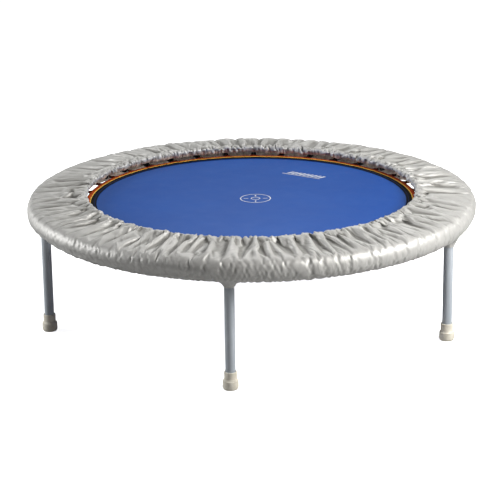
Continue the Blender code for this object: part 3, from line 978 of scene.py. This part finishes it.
def make_cover():
    """The gathered silver cover. Its hem and its lip show the lining. Also returns the strip's width."""
    grid, at = cover_surface()
    angle = np.arange(COVER_COLUMNS) * math.tau / COVER_COLUMNS
    out = normals_of(grid)
    points = grid + out * (puckers(at, angle) * MM)[..., None]
    slack = np.array([noise.noise((math.cos(a) * 24, math.sin(a) * 24, 3.0)) for a in angle])
    points[..., 2] -= 7 * MM * blend_of(at, at[-1] - 26 * MM, at[-1])[:, None] * (0.5 + slack)
    faces = faces_clear_of_legs(points)
    cover = new_piece("gathered_cover", points, faces, SILVER, "frame")
    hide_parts("cover_top_panel", "cover_skirt")
    # Painted shade: points that lie below their neighbours across the folds get a darker colour and ridges a
    # slightly lighter one, faded out on the roll.
    beside = (np.roll(points, 3, 1) + np.roll(points, -3, 1)) / 2
    valley = ((beside - points) * out).sum(-1)
    flat_part = 1 - 0.8 * blend_of(at, 118 * MM, 150 * MM)[:, None]
    shade_folds(cover, np.clip(0.5 - flat_part * valley / (3.2 * MM), 0, 1))
    lay_creases(cover, at, angle)
    cover.data.materials.append(LINING)
    hem = int(np.searchsorted(at, HEM_WIDTH)) * COVER_COLUMNS
    lip = int(np.searchsorted(at, at[-1] - LIP_WIDTH)) * COVER_COLUMNS
    for polygon in cover.data.polygons:
        if polygon.vertices[0] < hem or polygon.vertices[0] > lip:
            polygon.material_index = 1
    return cover, float(at[-1])


# How far each leg's collar hangs down past its socket.
COLLAR_DROPS = [1 * MM, 10 * MM, 5 * MM, 5 * MM, 5 * MM]
COLLAR_ROWS, COLLAR_COLUMNS = 12, 72
COLLAR_HEM_RADIUS = 13.4 * MM
COLLAR_LEAST_RADIUS = 12.9 * MM


def collar_points(number, drop):
    """One collar as a grid of points round the place X = LEG_CIRCLE, from the skirt down to its hem."""
    underside = smooth_path([(r * MM, 0.0, z * MM) for r, z in UNDERSIDE], 6)[::-1]
    phi = np.arange(COLLAR_COLUMNS) * math.tau / COLLAR_COLUMNS
    ways = [(math.cos(p) * 3.2, math.sin(p) * 3.2) for p in phi]
    outward = np.cos(phi)
    wide = (26 + 7 * outward - 4 * outward**2) * MM
    grid = []
    for i in range(COLLAR_ROWS):
        t = i / (COLLAR_ROWS - 1)
        halfway = math.sin(math.pi * t)
        folds = np.array([noise.noise((c, d, t * 2.2 + number * 9.0)) for c, d in ways])
        r = COLLAR_HEM_RADIUS + (wide - COLLAR_HEM_RADIUS) * (1 - t) ** 1.7
        r = r + folds * 2.6 * MM * (0.35 + 0.65 * halfway)
        r = np.maximum(r, COLLAR_LEAST_RADIUS)
        top = np.interp(LEG_CIRCLE + r * outward, underside[:, 0], underside[:, 2]) + 1.6 * MM
        hem = SOCKET_BOTTOM + 1.2 * MM - drop
        z = top + (hem - top) * t**1.2 + 0.6 * MM * folds * halfway
        grid.append(np.stack([LEG_CIRCLE + r * np.cos(phi), r * np.sin(phi), z], -1))
    return np.array(grid)


def make_collars():
    """The skirt's fabric drawn in round the top of each leg, in small folds."""
    points, faces = [], []
    for number, (bearing, drop) in enumerate(zip(LEG_ANGLES, COLLAR_DROPS)):
        start = number * COLLAR_ROWS * COLLAR_COLUMNS
        points.append(turned_about(collar_points(number, drop), bearing))
        faces += (grid_faces(COLLAR_ROWS, COLLAR_COLUMNS)[:, ::-1] + start).tolist()
    collars = new_piece("leg_collars", np.array(points), faces, SILVER, "frame")
    shade_folds(collars, np.full(len(collars.data.vertices), 0.5))
    return collars


def make_foam():
    """The foam pad over the springs: a turned section with slight dents."""
    profile = rounded(
        [
            (400.0, 291.0), (400.4, 293.2), (500.0, 293.2), (510.0, 286.6), (513.0, 274.0), (512.4, 268.5),
            (510.6, 268.5), (510.4, 280.0), (498.0, 288.5), (400.4, 288.5), (400.0, 291.0),
        ],
        2.0,
    )[:-1]
    columns = 240
    points = turned_points(np.array(profile) * MM, columns)
    dents = np.array([noise.noise(Vector(p) * 22) for p in points.reshape(-1, 3)]).reshape(points.shape[:2])
    points[..., 2] += 0.35 * MM * dents
    faces = grid_faces(len(profile), columns, True).tolist()
    pad = new_piece("foam_pad", points, faces, FOAM, "frame")
    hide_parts("foam_rim_pad")
    return pad


def build():
    make_frame()
    make_welds()
    for number, place in enumerate(LEG_PLACES, 1):
        make_leg(number, place)
    mat = make_mat()
    edge = make_edge()
    stitches = make_stitches()
    tabs = make_tabs()
    rings = make_tab_rings()
    prints = make_prints()
    make_springs()
    cover, width = make_cover()
    collars = make_collars()
    make_foam()


# ---------------------------------------------------------------- studio

def make_floor():
    """A pale floor, lit up where the camera sees it so that it comes out white."""
    size = 30.0
    corners = [(-size, -size, 0), (size, -size, 0), (size, size, 0), (-size, size, 0)]
    floor_mesh = bpy.data.meshes.new("studio_floor")
    floor_mesh.from_pydata(corners, [], [(0, 1, 2, 3)])
    floor = bpy.data.objects.new("studio_floor", floor_mesh)
    bpy.context.scene.collection.objects.link(floor)
    made, tree, main = shader("pale_floor", 0.85, specular=0.0)
    by_camera = add(tree, "ShaderNodeLightPath").outputs["Is Camera Ray"]
    cloudy = noise_of(tree, 2.0)
    bounced = colours_of(tree, cloudy, [(0.3, (0.43, 0.43, 0.43)), (0.7, (0.45, 0.45, 0.45))])
    seen = colours_of(tree, cloudy, [(0.3, (0.90, 0.90, 0.90)), (0.7, (0.92, 0.92, 0.92))])
    shade = add(tree, "ShaderNodeMix", data_type="RGBA")
    tree.links.new(by_camera, shade.inputs["Factor"])
    tree.links.new(bounced, shade.inputs[6])
    tree.links.new(seen, shade.inputs[7])
    tree.links.new(shade.outputs[2], main.inputs["Base Color"])
    main.inputs["Emission Color"].default_value = (1, 1, 1, 1)
    glow = ranged(tree, by_camera, (0.0, 1.0), (0.0, 0.9))
    tree.links.new(glow, main.inputs["Emission Strength"])
    floor_mesh.materials.append(made)


def make_sky():
    """Soft white light all round, stronger from behind and from the right, and plain white to the camera."""
    world = bpy.data.worlds.new("studio_air")
    bpy.context.scene.world = world
    world.use_nodes = True
    tree = world.node_tree
    back = tree.nodes["Background"]
    back.inputs["Color"].default_value = (1.0, 1.0, 1.0, 1.0)
    by_camera = add(tree, "ShaderNodeLightPath").outputs["Is Camera Ray"]
    way = add(tree, "ShaderNodeTexCoord")
    split = add(tree, "ShaderNodeSeparateXYZ")
    tree.links.new(way.outputs["Generated"], split.inputs["Vector"])

    def slope(axis, low, high, weight):
        """Light that grows along one axis of the sky, from none to the given weight."""
        return ranged(tree, split.outputs[axis], (low, high), (0.0, weight), "SMOOTHSTEP")

    level = combine(tree, slope("Y", 0.1, 0.95, 0.14), slope("X", -0.2, 1.0, 0.10), "ADD")
    base = add(tree, "ShaderNodeMath", operation="ADD")
    base.inputs[1].default_value = 0.07
    tree.links.new(level, base.inputs[0])
    strength = combine(tree, base.outputs[0], by_camera, "MAXIMUM")
    tree.links.new(strength, back.inputs["Strength"])


def make_lights():
    """The three lamps of the studio."""

    def area_light(name, place, target, size, power, colour=(1, 1, 1)):
        light = bpy.data.lights.new(name, "AREA")
        light.shape = "DISK"
        light.size = size
        light.energy = power
        light.color = colour
        obj = bpy.data.objects.new(name, light)
        bpy.context.scene.collection.objects.link(obj)
        obj.location = place
        obj.rotation_euler = (Vector(target) - Vector(place)).to_track_quat("-Z", "Y").to_euler()

    area_light("key_light", (1.52, -0.86, 1.28), (0.15, -0.05, 0.22), 0.8, 47, (1.0, 0.99, 0.97))
    area_light("side_light", (-2.7, 0.25, 1.1), (-0.1, 0.0, 0.2), 1.3, 54)
    area_light("rear_light", (0.0, 1.94, 2.06), (0.0, 0.1, 0.2), 0.9, 16)


def make_camera():
    """The photograph's view: from the front, low, with a long lens."""
    camera = bpy.data.cameras.new("studio_camera")
    camera.sensor_width = 36.0
    camera.lens = 135.15
    camera.clip_end = 100.0
    obj = bpy.data.objects.new("studio_camera", camera)
    bpy.context.scene.collection.objects.link(obj)
    down = math.radians(17.76)
    roll = math.radians(-0.65)
    place = Matrix.Translation((0.0, -4.237, 1.509))
    obj.matrix_world = place @ Matrix.Rotation(math.pi / 2 - down, 4, "X") @ Matrix.Rotation(roll, 4, "Z")
    bpy.context.scene.camera = obj
    bpy.context.scene.view_settings.view_transform = "Standard"


build()
make_floor()
make_sky()
make_lights()
make_camera()
